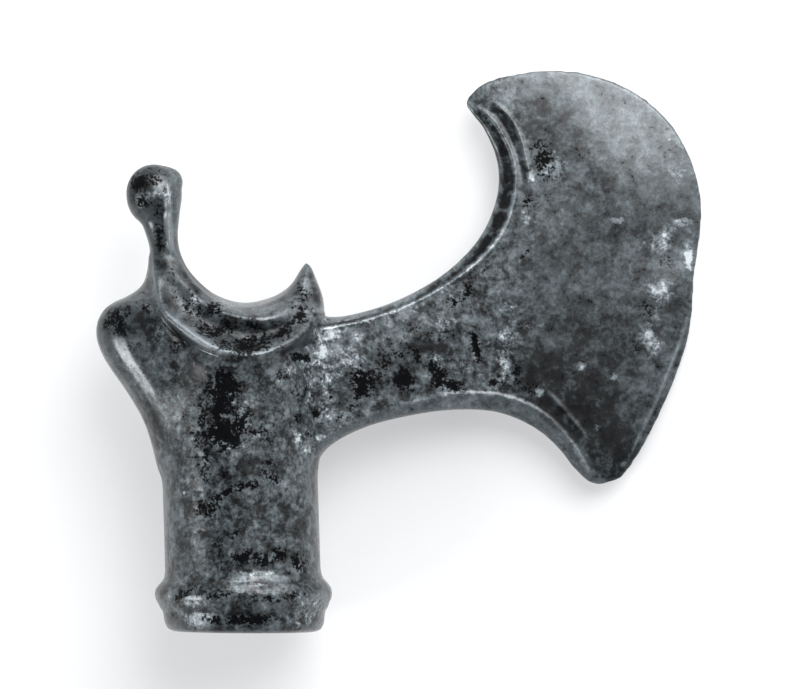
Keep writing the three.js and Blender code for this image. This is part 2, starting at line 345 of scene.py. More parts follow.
# What is rubbed over once more when the corners are filled: all above the socket's tube and
# behind the neck.
RUBBED_ABOVE = (26, 28)
RUBBED_BEHIND = (22, 24)
RUBBED_ROUNDS = 6

slanted = place[:, 1] + MOUTH_SLANT * place[:, 0] * np.clip(1 - place[:, 1] / SLANT_HEIGHT, 0, 1)
true_radius = interpolate(SOCKET_PROFILE, slanted)
radius = np.hypot(place[:, 0], place[:, 2])
turned = 1 - smooth_step(*TURNED_WITHIN, np.abs(radius - true_radius))
turned *= smooth_step(*TURNED_FROM, slanted) * (1 - smooth_step(*TURNED_TO, place[:, 1]))
turned *= smooth_step(*TURNED_OUTSIDE, radius)
scale = 1 + turned * (true_radius / np.maximum(radius, 1) - 1)
place[:, 0] *= scale
place[:, 2] *= scale
for low, high, rounds in CORNERS.values():
    fill_corners(np.array(low), np.array(high), rounds)
soften(smooth_step(*RUBBED_ABOVE, place[:, 1]) * (1 - smooth_step(*RUBBED_BEHIND, place[:, 0])),
       RUBBED_ROUNDS)


# ---------------------------------------------------------------------------------------------
# Blade. Hammered and ground thinner towards its cutting edge: thick at the neck, wedge-shaped
# from the middle of the crescent outwards. Along both bays a sloping border ends in a rib.
UPPER_BAY = [
    (6, 58.4), (17, 59.3), (26, 60.9), (34, 63.8), (41.5, 68.3), (47.6, 74.6), (50.9, 82.2),
    (51, 89), (48.4, 95.5), (46.2, 98.1), (45.2, 99.6)]
LOWER_BAY = [
    (6, 29), (14.6, 32.9), (18.4, 35.8), (25, 38.7), (34, 40.6), (42, 41.3), (50, 40.5),
    (57, 37.2), (61.7, 32.7), (64.6, 28.4), (66.6, 26.2), (69, 25.4)]
CUTTING_EDGE = [
    (45.2, 99.6), (46.3, 101.6), (49.2, 103.8), (54.5, 105.2), (62, 105.8), (70, 104.6),
    (78, 101), (84.3, 95.2), (88.2, 88), (89.9, 80.5), (89.6, 73.5), (88.5, 68.5), (87.9, 62),
    (86.9, 54.5), (83.6, 45.2), (78.4, 34.8), (74.4, 28.9), (71.8, 26.5), (69, 25.4)]
# Half thickness against the distance from the cutting edge, where its edge is worn round in the
# upper half, and where it is still ground to a bevel in the lower half.
WORN_HALF = [(0, 0.3), (1, 0.52), (5, 1.06), (10, 1.58), (16, 2.06), (24, 2.42), (40, 2.9),
             (60, 4), (75, 4.6)]
GROUND_HALF = [(0, 0.3), (2.1, 1.12), (2.5, 1.2), (5, 1.36), (10, 1.64), (16, 2.02), (24, 2.4),
               (40, 2.9), (60, 4), (75, 4.6)]
# Distance of the ribs from the bay against the share of the way along it.
UPPER_RIB = [(0, 1.9), (0.32, 1.7), (0.5, 2.1), (0.68, 3.4), (0.8, 3.2), (0.92, 2.5), (1, 0.9)]
LOWER_RIB = [(0, 1.8), (0.3, 1.9), (0.5, 2.9), (0.72, 3.3), (0.85, 2.5), (1, 1.6)]
# Share of the full thickness against the share of the way from the bay to the rib.
BORDER = [(0, 0.72), (0.3, 0.8), (0.7, 0.92), (1, 0.985), (1.3, 1), (9, 1)]
RIB_HEIGHT = 0.26
RIB_HALF_WIDTH = 0.38
# The ribs run out where the metal is only this thick.
RIB_THINNEST = (0.2, 1.2)
# Height of each rib at its root, as a share of what it has farther on, and from where to where
# along the bay it changes.
UPPER_RISE = (1.5, 0.4, 0.5)
LOWER_RISE = (0.25, 0.42, 0.55)
# A groove runs inside the upper rib along the neck: its place from the bay to the rib, and the
# shares of the way over which it runs out.
GROOVE_PLACE = 0.6
GROOVE_END = (0.5, 0.65)
# The share of the way along the cutting edge where the wear gives way to the ground bevel.
GROUND_FROM = (0.56, 0.66)
# Where along u the neck's own thickness gives way to these tables, and the most that they may
# change it.
BLADE_FROM = (15, 20)
THICKNESS_CHANGE = (0.6, 1.3)
# The outermost rim, which is this many times narrower along the cutting edge, takes its change
# from the ring of metal beside it, on its own side of the blade, and is rubbed round.
RIM_WIDTH = 0.9
EDGE_NARROWER = 3
RING_WIDTH = 0.6
SIDES_APART = 3
RIM_FADE = (1, 2)
RIM_ROUNDS = 6
# The outline of the cutting edge is drawn out to its line, less an inset, and the draw fades
# inwards and towards both tips. What is missing is measured on the wall of the edge: how near
# the line, how near the middle plane and how upright it is, and evened out over so many points.
EDGE_INSET = 0.06
EDGE_WALL = (1.2, 0.2, 0.5)
EDGE_EVEN = 25
EDGE_DRAW = (0.8, 3)
EDGE_DRAW_FROM = (0.002, 0.02)
EDGE_DRAW_TO = (0.96, 0.99)


def smooth_line(corners, pieces=6):
    """Points of a smooth line through the corners."""
    knots = np.array([corners[0], *corners, corners[-1]], dtype=float)
    share = np.linspace(0, 1, pieces, endpoint=False)[:, None]
    spans = []
    for before, start, end, after in zip(knots, knots[1:], knots[2:], knots[3:]):
        spans.append(0.5 * (2 * start + (end - before) * share
                            + (2 * before - 5 * start + 4 * end - after) * share ** 2
                            + (3 * start - before - 3 * end + after) * share ** 3))
    return np.concatenate(spans + [knots[-1:]])


def distance_to(line, points):
    """How far points (u, v) are from a line, and the share of its length at the nearest spot."""
    lengths = np.linalg.norm(np.diff(line, axis=0), axis=1)
    starts = np.concatenate(([0], np.cumsum(lengths)))
    nearest = np.full(len(points), 1e9)
    along = np.zeros(len(points))
    for start, end, length, run in zip(line, line[1:], lengths, starts):
        share = np.clip((points - start) @ (end - start) / length ** 2, 0, 1)
        apart = np.linalg.norm(points - start - share[:, None] * (end - start), axis=1)
        closer = apart < nearest
        nearest[closer] = apart[closer]
        along[closer] = (run + share[closer] * length) / starts[-1]
    return nearest, along


def over_skin(values):
    """Numbers for the points of the blade, with 0 for the rest of the skin."""
    spread_out = np.zeros(len(place))
    spread_out[on_blade] = values
    return spread_out


on_blade = np.flatnonzero(place[:, 0] > BLADE_FROM[0])
blade_uv = place[on_blade, :2]
from_upper, along_upper = distance_to(smooth_line(UPPER_BAY), blade_uv)
from_lower, along_lower = distance_to(smooth_line(LOWER_BAY), blade_uv)
from_edge, along_edge = distance_to(smooth_line(CUTTING_EDGE), blade_uv)
upper_inset = interpolate(UPPER_RIB, along_upper)
lower_inset = interpolate(LOWER_RIB, along_lower)
sharpened = smooth_step(*GROUND_FROM, along_edge)
half = (1 - sharpened) * interpolate(WORN_HALF, from_edge) + sharpened * interpolate(
    GROUND_HALF, from_edge)
for from_bay, inset, along, (at_root, low, high) in (
        (from_upper, upper_inset, along_upper, UPPER_RISE),
        (from_lower, lower_inset, along_lower, LOWER_RISE)):
    half *= interpolate(BORDER, from_bay / inset)
    rise = RIB_HEIGHT * smooth_step(*RIB_THINNEST, half)
    rise *= at_root + (1 - at_root) * smooth_step(low, high, along)
    if from_bay is from_upper:
        half -= rise * np.exp(-((from_bay - GROOVE_PLACE * inset) / RIB_HALF_WIDTH) ** 2) * (
            1 - smooth_step(*GROOVE_END, along))
    half += rise * np.exp(-((from_bay - inset) / RIB_HALF_WIDTH) ** 2)
from_rim = np.minimum(np.minimum(from_upper, from_lower), EDGE_NARROWER * from_edge)
face = from_rim > RIM_WIDTH
old_half = np.abs(place[on_blade, 2])
ring = np.flatnonzero(face & (from_rim < RIM_WIDTH + RING_WIDTH))
ring_tree = KDTree(len(ring))
for index in ring:
    u, v, w = place[on_blade[index]]
    ring_tree.insert((u, v, math.copysign(SIDES_APART, w)), index)
ring_tree.balance()
share = np.ones(len(on_blade))
share[face] = half[face] / old_half[face]
for index in np.flatnonzero(~face):
    u, v, w = place[on_blade[index]]
    share[index] = share[ring_tree.find((u, v, math.copysign(SIDES_APART, w)))[1]]
blend = smooth_step(*BLADE_FROM, blade_uv[:, 0])
place[on_blade, 2] *= 1 + blend * (np.clip(share, *THICKNESS_CHANGE) - 1)

line = smooth_line(CUTTING_EDGE)
wall_reach, wall_height, wall_tilt = EDGE_WALL
wall = on_blade[(from_edge < wall_reach)
                & (from_edge < 0.9 * np.minimum(from_upper, from_lower) + 0.4)
                & (np.abs(place[on_blade, 2]) < wall_height)
                & (np.abs(skin_normals()[on_blade, 2]) < wall_tilt)]
short, short_along = distance_to(line, place[wall, :2])
order = np.argsort(short_along)
short = np.convolve(np.pad(short[order], EDGE_EVEN // 2, mode="edge"),
                    np.ones(EDGE_EVEN) / EDGE_EVEN, mode="valid")
near_edge = np.flatnonzero(from_edge < EDGE_DRAW[1])
along = along_edge[near_edge]
draw = np.interp(along, short_along[order], short) - EDGE_INSET
draw *= (1 - smooth_step(*EDGE_DRAW, from_edge[near_edge])) * smooth_step(
    *EDGE_DRAW_FROM, along) * (1 - smooth_step(*EDGE_DRAW_TO, along))
turns = np.diff(line, axis=0)[:, ::-1] * (-1, 1)
turns /= np.linalg.norm(turns, axis=1)[:, None]
runs = np.cumsum(np.linalg.norm(np.diff(line, axis=0), axis=1))
runs = (runs - runs[0] / 2) / runs[-1]
for axis in (0, 1):
    place[on_blade[near_edge], axis] += draw * np.interp(along, runs, turns[:, axis])
soften(over_skin(1 - smooth_step(*RIM_FADE, from_rim)), RIM_ROUNDS)


# ---------------------------------------------------------------------------------------------
# Ribs and hollows, drawn in the wax with a modelling tool: a second, finer rib beside the first
# at both ends of the crescent, the roll under the crest, the rim round its notch and the hollow
# between them, and the sharp spine of the stem.
# Each: line, height, half width, and the shares of the line over which it fades in and out.
FORMS = {
    "crest_foot": (
        [(-17, 65), (-15.6, 61.5), (-13, 57.6), (-10.2, 54.8), (-7, 52.4), (-3.5, 50.8), (1, 50)],
        1, 2, (0, 0.25), (0.6, 1)),
    "crest_face": (
        [(-11.8, 73), (-10.6, 70.5), (-8.4, 67.6), (-6, 65), (-3.4, 62.9), (0, 61.2), (3.8, 60.2),
         (6.9, 60.1), (9.8, 61.2), (12, 63.4), (13.2, 66)], 2.2, 2.3, (0, 0.25), (0.8, 1)),
    "rim_roll": (
        [(-6, 64.6), (-3, 62.4), (0, 61), (3.8, 60), (7.4, 60.1), (10.6, 61.6), (12.8, 64.4)],
        0.8, 1.3, (0, 0.3), (0.6, 0.95)),
    "crest_hollow": (
        [(-13.9, 75), (-13, 70), (-11, 65.2), (-8, 61.2), (-4.5, 58.4), (0, 56.9), (4, 56.6),
         (8, 57.6), (11.6, 60), (13.4, 63.6)], -0.9, 1.9, (0.3, 0.55), (0.8, 1)),
}
RIBS = {
    "upper_second_rib": (
        [(49.3, 100.8), (51.9, 99), (54.2, 96.3), (55.8, 92.6), (56.6, 88.7), (57.3, 85.3),
         (57.4, 82)], 0.26, 0.4, (0.05, 0.2), (0.8, 1)),
    "upper_groove": (
        [(47.5, 99.9), (50.4, 98.3), (52.5, 95.6), (54.2, 92), (55.2, 88.5), (55.9, 84.5),
         (55.9, 81)], -0.16, 0.55, (0.05, 0.2), (0.7, 1)),
    "lower_second_rib": (
        [(58.5, 44.6), (60.3, 43.2), (63.2, 39.8), (66, 36.1), (66.9, 33.6)],
        0.16, 0.4, (0, 0.2), (0.8, 1)),
    "crest_roll": (
        [(-16.3, 77), (-16.1, 73.6), (-15.4, 68.9), (-14.4, 63.7), (-12.8, 61), (-9.7, 58.4),
         (-7.2, 56.4), (-4, 54.4), (-0.2, 53.3), (3.6, 53.1), (7.5, 54.1), (11.3, 55.6),
         (13.9, 57.4), (15.9, 59.7)], 0.7, 0.85, (0, 0.15), (0.5, 0.9)),
    "notch_rim": (
        [(-12.1, 86), (-12.4, 76.4), (-12.1, 74.5), (-11, 72), (-9.2, 69), (-6.6, 66.1),
         (-3.8, 64.1), (0, 62.2), (3.8, 61.2), (6.7, 60.9), (9.6, 61.8), (11.8, 63.6),
         (13.4, 66.2), (14.4, 69.3)], 0.42, 0.5, (0, 0.08), (0.4, 0.6)),
    "neck_groove": (
        [(18, 57.3), (22, 58.1), (27, 59.3), (31, 60.6), (35.5, 62.3), (40, 64.6), (44, 67.2)],
        -0.32, 0.4, (0, 0.1), (0.8, 1)),
    "bevel_line": (
        [(87.5, 60), (87, 57.9), (83.6, 49.6), (79.9, 41.3), (76.2, 34.2), (74, 30.3), (71.3, 27.6)],
        0.2, 0.4, (0, 0.2), (0.85, 1)),
    "stem_spine": (
        [(-11.6, 71.5), (-12.2, 74.5), (-12.3, 78), (-12.2, 82), (-12.2, 85), (-12.5, 88)],
        0.79, 0.6, (0, 0.2), (0.8, 1)),
    "stem_groove": (
        [(-10.8, 73.5), (-11.1, 77), (-11.1, 82), (-10.9, 86.4)], -0.3, 0.35, (0, 0.15), (0.85, 1)),
    "neck_crack": (
        [(45.4, 55.8), (45.7, 53.6), (46.3, 51)], -0.3, 0.35, (0, 0.3), (0.7, 1)),
}
# Forms wider than this are raised straight out of the face, finer ones out of the skin. The
# back has them lower, and skin that is turned away from both faces has none.
BROAD = 1
BACK_SHARE = 0.7
LEAST_FACING = 0.25
LINE_REACH = 3
# The crest is softened between its forms and its ribs, where it is thick: middle (u, v, w),
# reach, and the share of the reach that is softened in full.
CREST = ((-1, 58, 0), (18, 15, 24), 0.75)
CREST_THICK = (5, 8)
CREST_ROUNDS = 40
# The ribs are rubbed bright, with a painted highlight along them: how far down their sides, and
# where that fades in along a bay.
RUBBED_HIGHLIGHT_WIDTH = 0.3
RUBBED_HIGHLIGHT_SHARPNESS = 1.3
RUBBED_HIGHLIGHT_FADE = (0.1, 0.3)

rubbed_highlight = sum(
    over_skin(smooth_step(*RUBBED_HIGHLIGHT_FADE, along) * np.exp(-((from_bay - inset) / RUBBED_HIGHLIGHT_WIDTH) ** 2))
    for from_bay, inset, along in ((from_upper, upper_inset, along_upper),
                                   (from_lower, lower_inset, along_lower)))


def draw_line(corners, rise, half_width, fade_in, fade_out):
    """Raises or sinks the skin along a line, on the front and less on the back."""
    line = smooth_line(corners)
    low = line.min(0) - LINE_REACH * half_width
    high = line.max(0) + LINE_REACH * half_width
    near = np.flatnonzero(np.all((place[:, :2] > low) & (place[:, :2] < high), axis=1)
                          & (facing > LEAST_FACING))
    apart, along = distance_to(line, place[near, :2])
    fade = smooth_step(*fade_in, along) * (1 - smooth_step(*fade_out, along))
    lift = rise * fade * np.exp(-(apart / half_width) ** 2) * facing[near]
    if half_width > BROAD:
        place[near, 2] += lift * np.sign(normal[near, 2])
        return
    place[near] += lift[:, None] * normal[near]
    # A raised line is rubbed bright too, with a painted highlight along it.
    if rise > 0:
        rubbed_highlight[near] += fade * np.exp(-(RUBBED_HIGHLIGHT_SHARPNESS * apart / half_width) ** 2)


def around(middle, reach, core):
    """1 for the skin within the core of a rounded place, falling to 0 at its reach."""
    apart = np.linalg.norm((place - middle) / np.array(reach), axis=1)
    return 1 - smooth_step(core, 1, apart)


for forms in (FORMS, RIBS):
    normal = skin_normals()
    facing = np.clip(normal[:, 2], 0, 1) + BACK_SHARE * np.clip(-normal[:, 2], 0, 1)
    for form in forms.values():
        draw_line(*form)
    if forms is FORMS:
        thick = smooth_step(*CREST_THICK, np.abs(place[:, 2]))
        soften(thick * around(*CREST), CREST_ROUNDS)

# The knob was pressed on last: its ball is full at the top and its front corner is rounded off.
KNOB = ((-15, 86.5, 0), (6.5, 6, 8), 0.4)
KNOB_SWELLING = 0.45
KNOB_CORNER = ((-10, 88.8, 0), (3, 3, 4), 0.4)
KNOB_ROUNDS = 50
place += KNOB_SWELLING * around(*KNOB)[:, None] * normal
soften(around(*KNOB_CORNER), KNOB_ROUNDS)

# ---------------------------------------------------------------------------------------------
# Corrosion in the skin. Centuries in the ground ate shallow pits into the bronze and left hard
# crust on it, most on the socket and neck and least on the blade. The low swell of a hammered
# and hand-finished surface is under it.
# Height and size of the swell and of the pits, in millimetres, and the pits' fractal.
SWELL = (0.1, 14)
PITTING = (0.09, 1.5)
PIT_DETAIL = (0.8, 2, 3)
PIT_THRESHOLD = 0.05
# Places with less crust: how much less, and where that fades in along u and along v. A fade
# from a higher to a lower number runs the other way.
EVERYWHERE = (-99, -98)
CLEANER = {
    "blade": (0.66, (46, 62), EVERYWHERE),
    "stem_and_knob": (0.6, (30, 20), (66, 74)),
    "butt": (0.5, (-9, -17), (36, 46)),
    "crest": (0.6, (17, 12), (51, 55)),
}
# The hole, the thin edge and the mouth keep their form.
HOLE_CLEAR = (13, 53)
EDGE_CLEAR = (0.4, 1.2)
MOUTH_CLEAR = (1, 3)
HOLLOW_ROUNDS = 5

normal = skin_normals()
crusted = np.ones(len(place))
for less, fade_u, fade_v in CLEANER.values():
    crusted *= 1 - less * smooth_step(*fade_u, place[:, 0]) * smooth_step(*fade_v, place[:, 1])
lift = np.zeros(len(place))
for index in np.flatnonzero((np.hypot(place[:, 0], place[:, 2]) > HOLE_CLEAR[0])
                            | (place[:, 1] > HOLE_CLEAR[1])):
    spot = Vector(place[index])
    pits = max(0, noise.fractal(spot / PITTING[1], *PIT_DETAIL) - PIT_THRESHOLD)
    lift[index] = SWELL[0] * noise.noise(spot / SWELL[1]) - PITTING[0] * crusted[index] * pits
lift *= smooth_step(*EDGE_CLEAR, np.abs(place[:, 2])) * smooth_step(*MOUTH_CLEAR, place[:, 1])
place += lift[:, None] * normal
# How hollow the skin is at each point, below zero where it stands out.
hollow = np.sum((neighbour_mean(place) - place) * skin_normals(), axis=1)[:, None]
for _ in range(HOLLOW_ROUNDS):
    hollow = 0.5 * hollow + 0.5 * neighbour_mean(hollow)
hollow = hollow[:, 0]

# ---------------------------------------------------------------------------------------------
# Where the patina differs. Black cuprite lies bare in some places and pale crust clings to
# others; a few of the black patches are painted shade and a few of the pale ones painted
# highlights. Each: middle (u, v), half size along and across, turn in degrees, and how closed it is.
BLACK_PATCHES = {
    "socket_front": [
        (-2.4, 46.6, 2.7, 2.8, 0, 1), (-3.2, 42.4, 1.8, 3, 10, 0.85), (-2.4, 38, 3.8, 2.8, 0, 1),
        (0.6, 40.2, 2.4, 3.4, 0, 0.75), (-3, 49.2, 0.9, 1.3, 0, 1), (-6.4, 41.5, 1.2, 5, 0, 0.62),
        (-6.2, 33, 0.9, 3.6, 0, 0.72), (5.5, 38.5, 1.6, 2.6, 0, 0.5), (-8.2, 37, 1.4, 5, 0, 0.48)],
    "socket_middle": [
        (1.2, 27.9, 2.6, 0.8, 8, 1), (-3.2, 26.4, 2.8, 0.7, 30, 0.95),
        (-6, 23.8, 2.1, 1.5, 0, 0.9), (6.5, 29.3, 2.6, 0.9, -35, 0.8),
        (9.3, 27.4, 0.6, 2, 0, 0.55), (-1, 18.6, 1.2, 1, 0, 0.62), (-4.2, 17.4, 1.6, 0.7, 0, 0.5),
        (6, 32.4, 1.6, 0.8, 20, 0.5), (-2.6, 30.3, 1, 0.6, 0, 0.55)],
    "above_collar": [
        (0, 14.7, 2.3, 1.1, 0, 1), (4.4, 13.7, 1.5, 1, 20, 0.95), (7, 14.8, 1.6, 1.1, 0, 0.95),
        (10.8, 12.9, 1.1, 1.5, 0, 1), (2.8, 14.6, 2, 0.7, 0, 0.7)],
    # The first four collar patches, a band round the bead, are painted shade, not cuprite.
    "collar": [
        (-11.4, 7.6, 3.4, 0.8, 25, 0.62), (-4.4, 7.4, 4.6, 0.9, 4, 0.6), (5.5, 6.4, 5, 0.9, -4, 0.55),
        (10.5, 7, 2.6, 0.8, -20, 0.55), (0.8, 2.6, 4.8, 0.75, 0, 1), (-5.6, 2.8, 1.6, 0.7, 0, 0.95)],
    "butt": [
        (-22.6, 60.6, 2.8, 1.8, 20, 0.6), (-21.6, 58, 1.1, 1.1, 0, 0.62),
        (-17, 62.6, 2.6, 1, -10, 0.48), (-11.5, 55, 1.3, 0.9, 0, 0.5),
        (-19.5, 55.6, 1.4, 0.8, 0, 0.5)],
    "crest": [
        (-7.6, 62.6, 2.7, 1.7, -30, 0.62), (-3.6, 61.9, 1.7, 1.7, 0, 0.75),
        (-3.3, 57.5, 0.6, 1.1, 25, 1), (2, 54.4, 5.5, 1.1, 0, 0.75), (9.4, 56.9, 3, 1, 20, 0.6),
        (12.6, 60.4, 2, 2.4, 0, 0.62), (13.2, 65, 1.4, 2.2, 15, 0.52), (0.5, 58.2, 9, 2, 0, 0.42),
        (-5, 57.4, 4, 0.9, -25, 0.62), (3, 55.8, 6, 0.8, 0, 0.66), (10.4, 58.6, 3, 0.8, 35, 0.62),
        (-12, 69, 1, 3, 15, 0.36), (-10.2, 64.5, 1.4, 1.6, 0, 0.36)],
    "knob": [
        (-17.6, 86.6, 2.2, 2.2, 0, 0.68), (-17, 83, 1.4, 1.2, 0, 0.62),
        (-14.6, 87.2, 1.6, 1.6, 0, 0.5), (-14, 76.6, 1.1, 5.6, 0, 0.55)],
    "neck": [
        (24, 47, 1.8, 3, 0, 1), (27.6, 49.6, 2.4, 2.2, 0, 0.6), (31.8, 47.4, 1.9, 1.8, 0, 1),
        (30, 52.4, 4.4, 1.5, 0, 0.5), (34.6, 51.4, 0.6, 1.4, 0, 0.85), (38.2, 48.8, 1.5, 2.2, 30, 1.1),
        (40.2, 46.2, 2.8, 1, -12, 1.1), (45.9, 53.3, 0.7, 2.8, 8, 1.1), (49.2, 46.3, 1.1, 0.9, 0, 0.95),
        (38.6, 55.6, 2.4, 1, 0, 0.5), (42, 61.6, 1.7, 1, 20, 0.65), (44.4, 63.8, 0.9, 1.7, -20, 0.8),
        (48.2, 67.8, 1, 0.7, 0, 1), (22.2, 42.8, 1.8, 0.8, 15, 0.6), (17.6, 44.4, 0.6, 0.9, 0, 0.75),
        (19.5, 40.4, 3.6, 0.5, 14, 0.62), (25, 44.4, 2.2, 0.7, 0, 0.5), (33.5, 57, 3, 0.8, 0, 0.45)],
    "neck_root": [
        (12.4, 52.1, 1.8, 0.9, -18, 1), (12, 45.4, 1.6, 1, 0, 0.58), (15, 41.2, 0.9, 0.9, 0, 0.8),
        (13.6, 37.6, 1, 1.4, 0, 0.6), (11.4, 40.4, 0.8, 1, 0, 0.6), (8.6, 48.6, 1.2, 1.2, 0, 0.55)],
    "blade": [
        (53.6, 47.4, 1, 2.4, 0, 0.6), (55.6, 44.6, 1.6, 0.7, -20, 0.6), (60, 88, 1.6, 4.4, 0, 0.75),
        (56.4, 80.8, 1, 1, 0, 0.75), (58.6, 80.2, 0.8, 0.8, 0, 0.6), (56, 70.8, 1.4, 0.8, 0, 0.6),
        (79, 59, 0.7, 2, 10, 0.6), (76.6, 52, 0.7, 1.4, 0, 0.6), (82.6, 68.4, 1.6, 1.4, 0, 0.42)],
}
CRUST_AND_HIGHLIGHT_PATCHES = {
    # The patch at (15.7, 36.9), in the hollow under the neck, is a painted highlight, not crust.
    "neck_root": [
        (17.4, 56.4, 2.7, 1.2, 10, 0.9), (16.4, 53, 1.5, 2.2, 0, 0.72), (21.6, 51.6, 2.2, 2.4, 0, 0.66),
        (17.2, 48, 2.4, 3.2, 0, 0.55), (14, 50, 1.4, 3, 0, 0.5), (13.6, 45, 1.2, 3, 0, 0.48),
        (15.7, 36.9, 0.9, 0.7, 0, 1), (13.6, 34.4, 1.3, 1.1, 0, 0.72), (11.6, 37, 1.5, 1.6, 0, 0.55),
        (10, 50.4, 1.5, 1.8, 0, 0.6), (16.6, 42.2, 1.4, 2.2, 0, 0.5), (7.5, 48, 1.5, 1, 0, 0.5)],
    "neck": [
        (40.2, 57.4, 2.4, 1.7, 0, 0.5), (38.4, 51.6, 1.2, 1, 0, 0.6), (43.4, 49.4, 1.4, 1.4, 0, 0.5),
        (41.4, 63.1, 0.9, 0.35, -30, 1), (23.6, 55.3, 1.6, 0.7, 0, 0.6), (28.6, 56, 1.2, 0.7, 0, 0.5)],
    "crescent_root": [
        (51.4, 49.6, 1.4, 4.4, 0, 0.72), (52.6, 55, 2.2, 1.6, 0, 0.6), (56, 57, 3, 0.8, 0, 0.55),
        (53, 60.6, 2, 1.4, 0, 0.48), (57.8, 44.4, 0.7, 1.1, 20, 1), (52, 46.4, 1, 1, 0, 0.6)],
    "blade": [
        (81.6, 62.8, 2.6, 2.2, 0, 0.7), (79.2, 53.6, 1.8, 3, 0, 0.72), (82, 72.6, 3, 2, 15, 0.58),
        (80.8, 58.4, 0.9, 1.5, 0, 0.6), (86.6, 76, 2.2, 1, 0, 0.62), (74, 76.4, 1, 0.7, -20, 0.8),
        (62, 86.6, 2.2, 2.2, 0, 0.62), (62.2, 89.6, 1, 1.2, 0, 0.5), (66.4, 81.4, 0.8, 0.6, 0, 0.6),
        (66, 49, 0.7, 1.1, 0, 0.85), (72.2, 46.6, 0.9, 0.5, -30, 0.9), (68.6, 37.2, 1, 0.5, 0, 0.62),
        (84.2, 92, 0.5, 0.4, 0, 0.9), (66.6, 62, 0.6, 0.6, 0, 0.6), (85.4, 85.6, 2.4, 2.2, 0, 0.3),
        # The patch at (87.2, 69), on the nick, is a painted highlight on its facet, not crust.
        (87.2, 69, 0.8, 2.6, 0, 0.8), (56.5, 78, 1.4, 2, 0, 0.5), (57.4, 85.4, 0.9, 1.5, 0, 0.6)],
    # The patches at (-8.6, 3), (-9.8, 5.9), (3.4, 11.3) and (4.6, 9.2), on the collar, are painted
    # highlights, not crust.
    "socket": [
        (-8.6, 3, 1.9, 1.4, 0, 0.95), (-9.8, 5.9, 2.4, 0.5, 0, 0.7), (12.4, 4, 3, 2.6, 0, 0.55),
        (-10.6, 27.2, 0.4, 0.3, 0, 1), (3.8, 37.6, 0.9, 0.5, 0, 0.9), (10.4, 1.2, 0.6, 0.7, 0, 0.9),
        (2.4, 43.6, 0.8, 0.6, 0, 0.7), (-0.6, 44, 0.6, 0.6, 0, 0.8), (3.4, 11.3, 2.3, 0.4, 0, 0.8),
        (4.6, 9.2, 3, 0.3, 0, 0.7), (-0.8, 35.4, 3, 0.5, 0, 0.5), (0, 11.6, 1, 0.5, 0, 0.5)],
    "crest_and_butt": [
        (-7.8, 63.8, 1, 1, 0, 0.6), (-12.6, 83.6, 1.6, 1.6, 0, 0.5), (-20, 51, 1, 0.6, 0, 0.5),
        (-14.6, 57, 3, 3, 0, 0.36), (-14, 43.8, 0.9, 0.6, 0, 0.5), (-15.8, 84, 2.4, 1, 0, 0.5)],
}

# Broad places where the skin is painted darker as a whole, which also dulls their shine: painted
# shade on the blade, crest, butt, stem and knob and across the collar, and a darker tone on the
# neck and up the socket.
PAINTED_SHADES = {
    "blade": [
        (59, 48, 7, 4.6, -15, 0.8), (66, 41, 9, 7, 0, 0.85), (70, 33, 6, 8, 0, 0.75),
        (70, 56, 12, 8, 0, 0.4), (70, 74, 14, 14, 0, 0.25), (62, 94, 5, 9, 0, 0.55),
        (53, 96, 6, 5, 0, 0.5)],
    "neck": [(29, 49, 7, 4, 0, 0.5), (40, 51.5, 6, 4, 0, 0.4), (44, 62, 5, 3, 40, 0.3)],
    "socket": [(-2, 41, 7, 9, 0, 0.4), (0, 24, 8, 14, 0, 0.4), (0, 8.4, 13, 1.6, 0, 0.4),
               (0, 2.6, 8, 1.4, 0, 0.4)],
    "crest": [
        (0, 57.2, 12, 3.2, 0, 0.6), (8, 57.2, 5, 1.2, 20, 0.95), (13, 61, 3, 5, 0, 0.5),
        (-8.6, 68.6, 6, 1.8, -56, 0.7), (-6, 62.6, 4, 3, -40, 0.5), (-12.8, 64.6, 1.8, 4, 0, 0.9),
        (-12.6, 70.5, 1.6, 2.5, 0, 0.9), (-15.4, 58.6, 2, 3, 0, 0.4)],
    "stem_and_knob": [(-14, 76, 1.4, 8, 0, 0.5), (-17.4, 86, 3.4, 3.4, 0, 0.6)],
    "butt": [(-22, 60, 5, 3, 0, 0.5), (-14, 43.5, 3, 5, 0, 0.7), (-8.5, 50.2, 2.4, 2.6, 0, 1)],
}
# Painted highlights, in the same terms: light painted where high points and the upper right of
# the blade shine, and these places are also made smoother and a little more metallic.
PAINTED_HIGHLIGHTS = {
    "crest": [(3, 61.4, 4.6, 1, -10, 1.2), (3.8, 61, 2.2, 0.7, 0, 2),
              (-6.4, 55.9, 3.8, 1, -37, 0.9), (-5.4, 55.2, 2.2, 0.8, -35, 1.8)],
    "butt": [(-20.2, 51, 3.8, 2, -47, 1.4), (-19.8, 50.4, 2.8, 1.3, -47, 2.2)],
    "knob": [(-12.4, 86.6, 1, 1.2, 0, 1.8), (-12.2, 80, 0.5, 6, 0, 1.4)],
    "blade": [(58, 38.4, 9, 0.6, -40, 0.8), (80, 97.5, 10, 4, -44, 1.6),
              (70, 103.4, 8, 1.2, -14, 1.8), (82, 96.5, 7, 1.2, -48, 1.6)],
    "collar": [(3.4, 9.4, 3.4, 0.6, 0, 0.4), (-9.4, 5.4, 2.4, 0.6, 0, 1.2),
               (-8.6, 2.6, 1.6, 1, 0, 0.8), (4, 11, 2, 0.4, 0, 0.5)],
}
# On the back the patches are shifted along u, and drawn together and shifted along v.
BACK_SHIFT = 3.5
BACK_SQUEEZE = 0.8
BACK_RAISE = 11
# How steeply a patch thins out from its middle, and how many half sizes away it is gone.
PATCH_FALL = 0.7
PATCH_REACH = 3


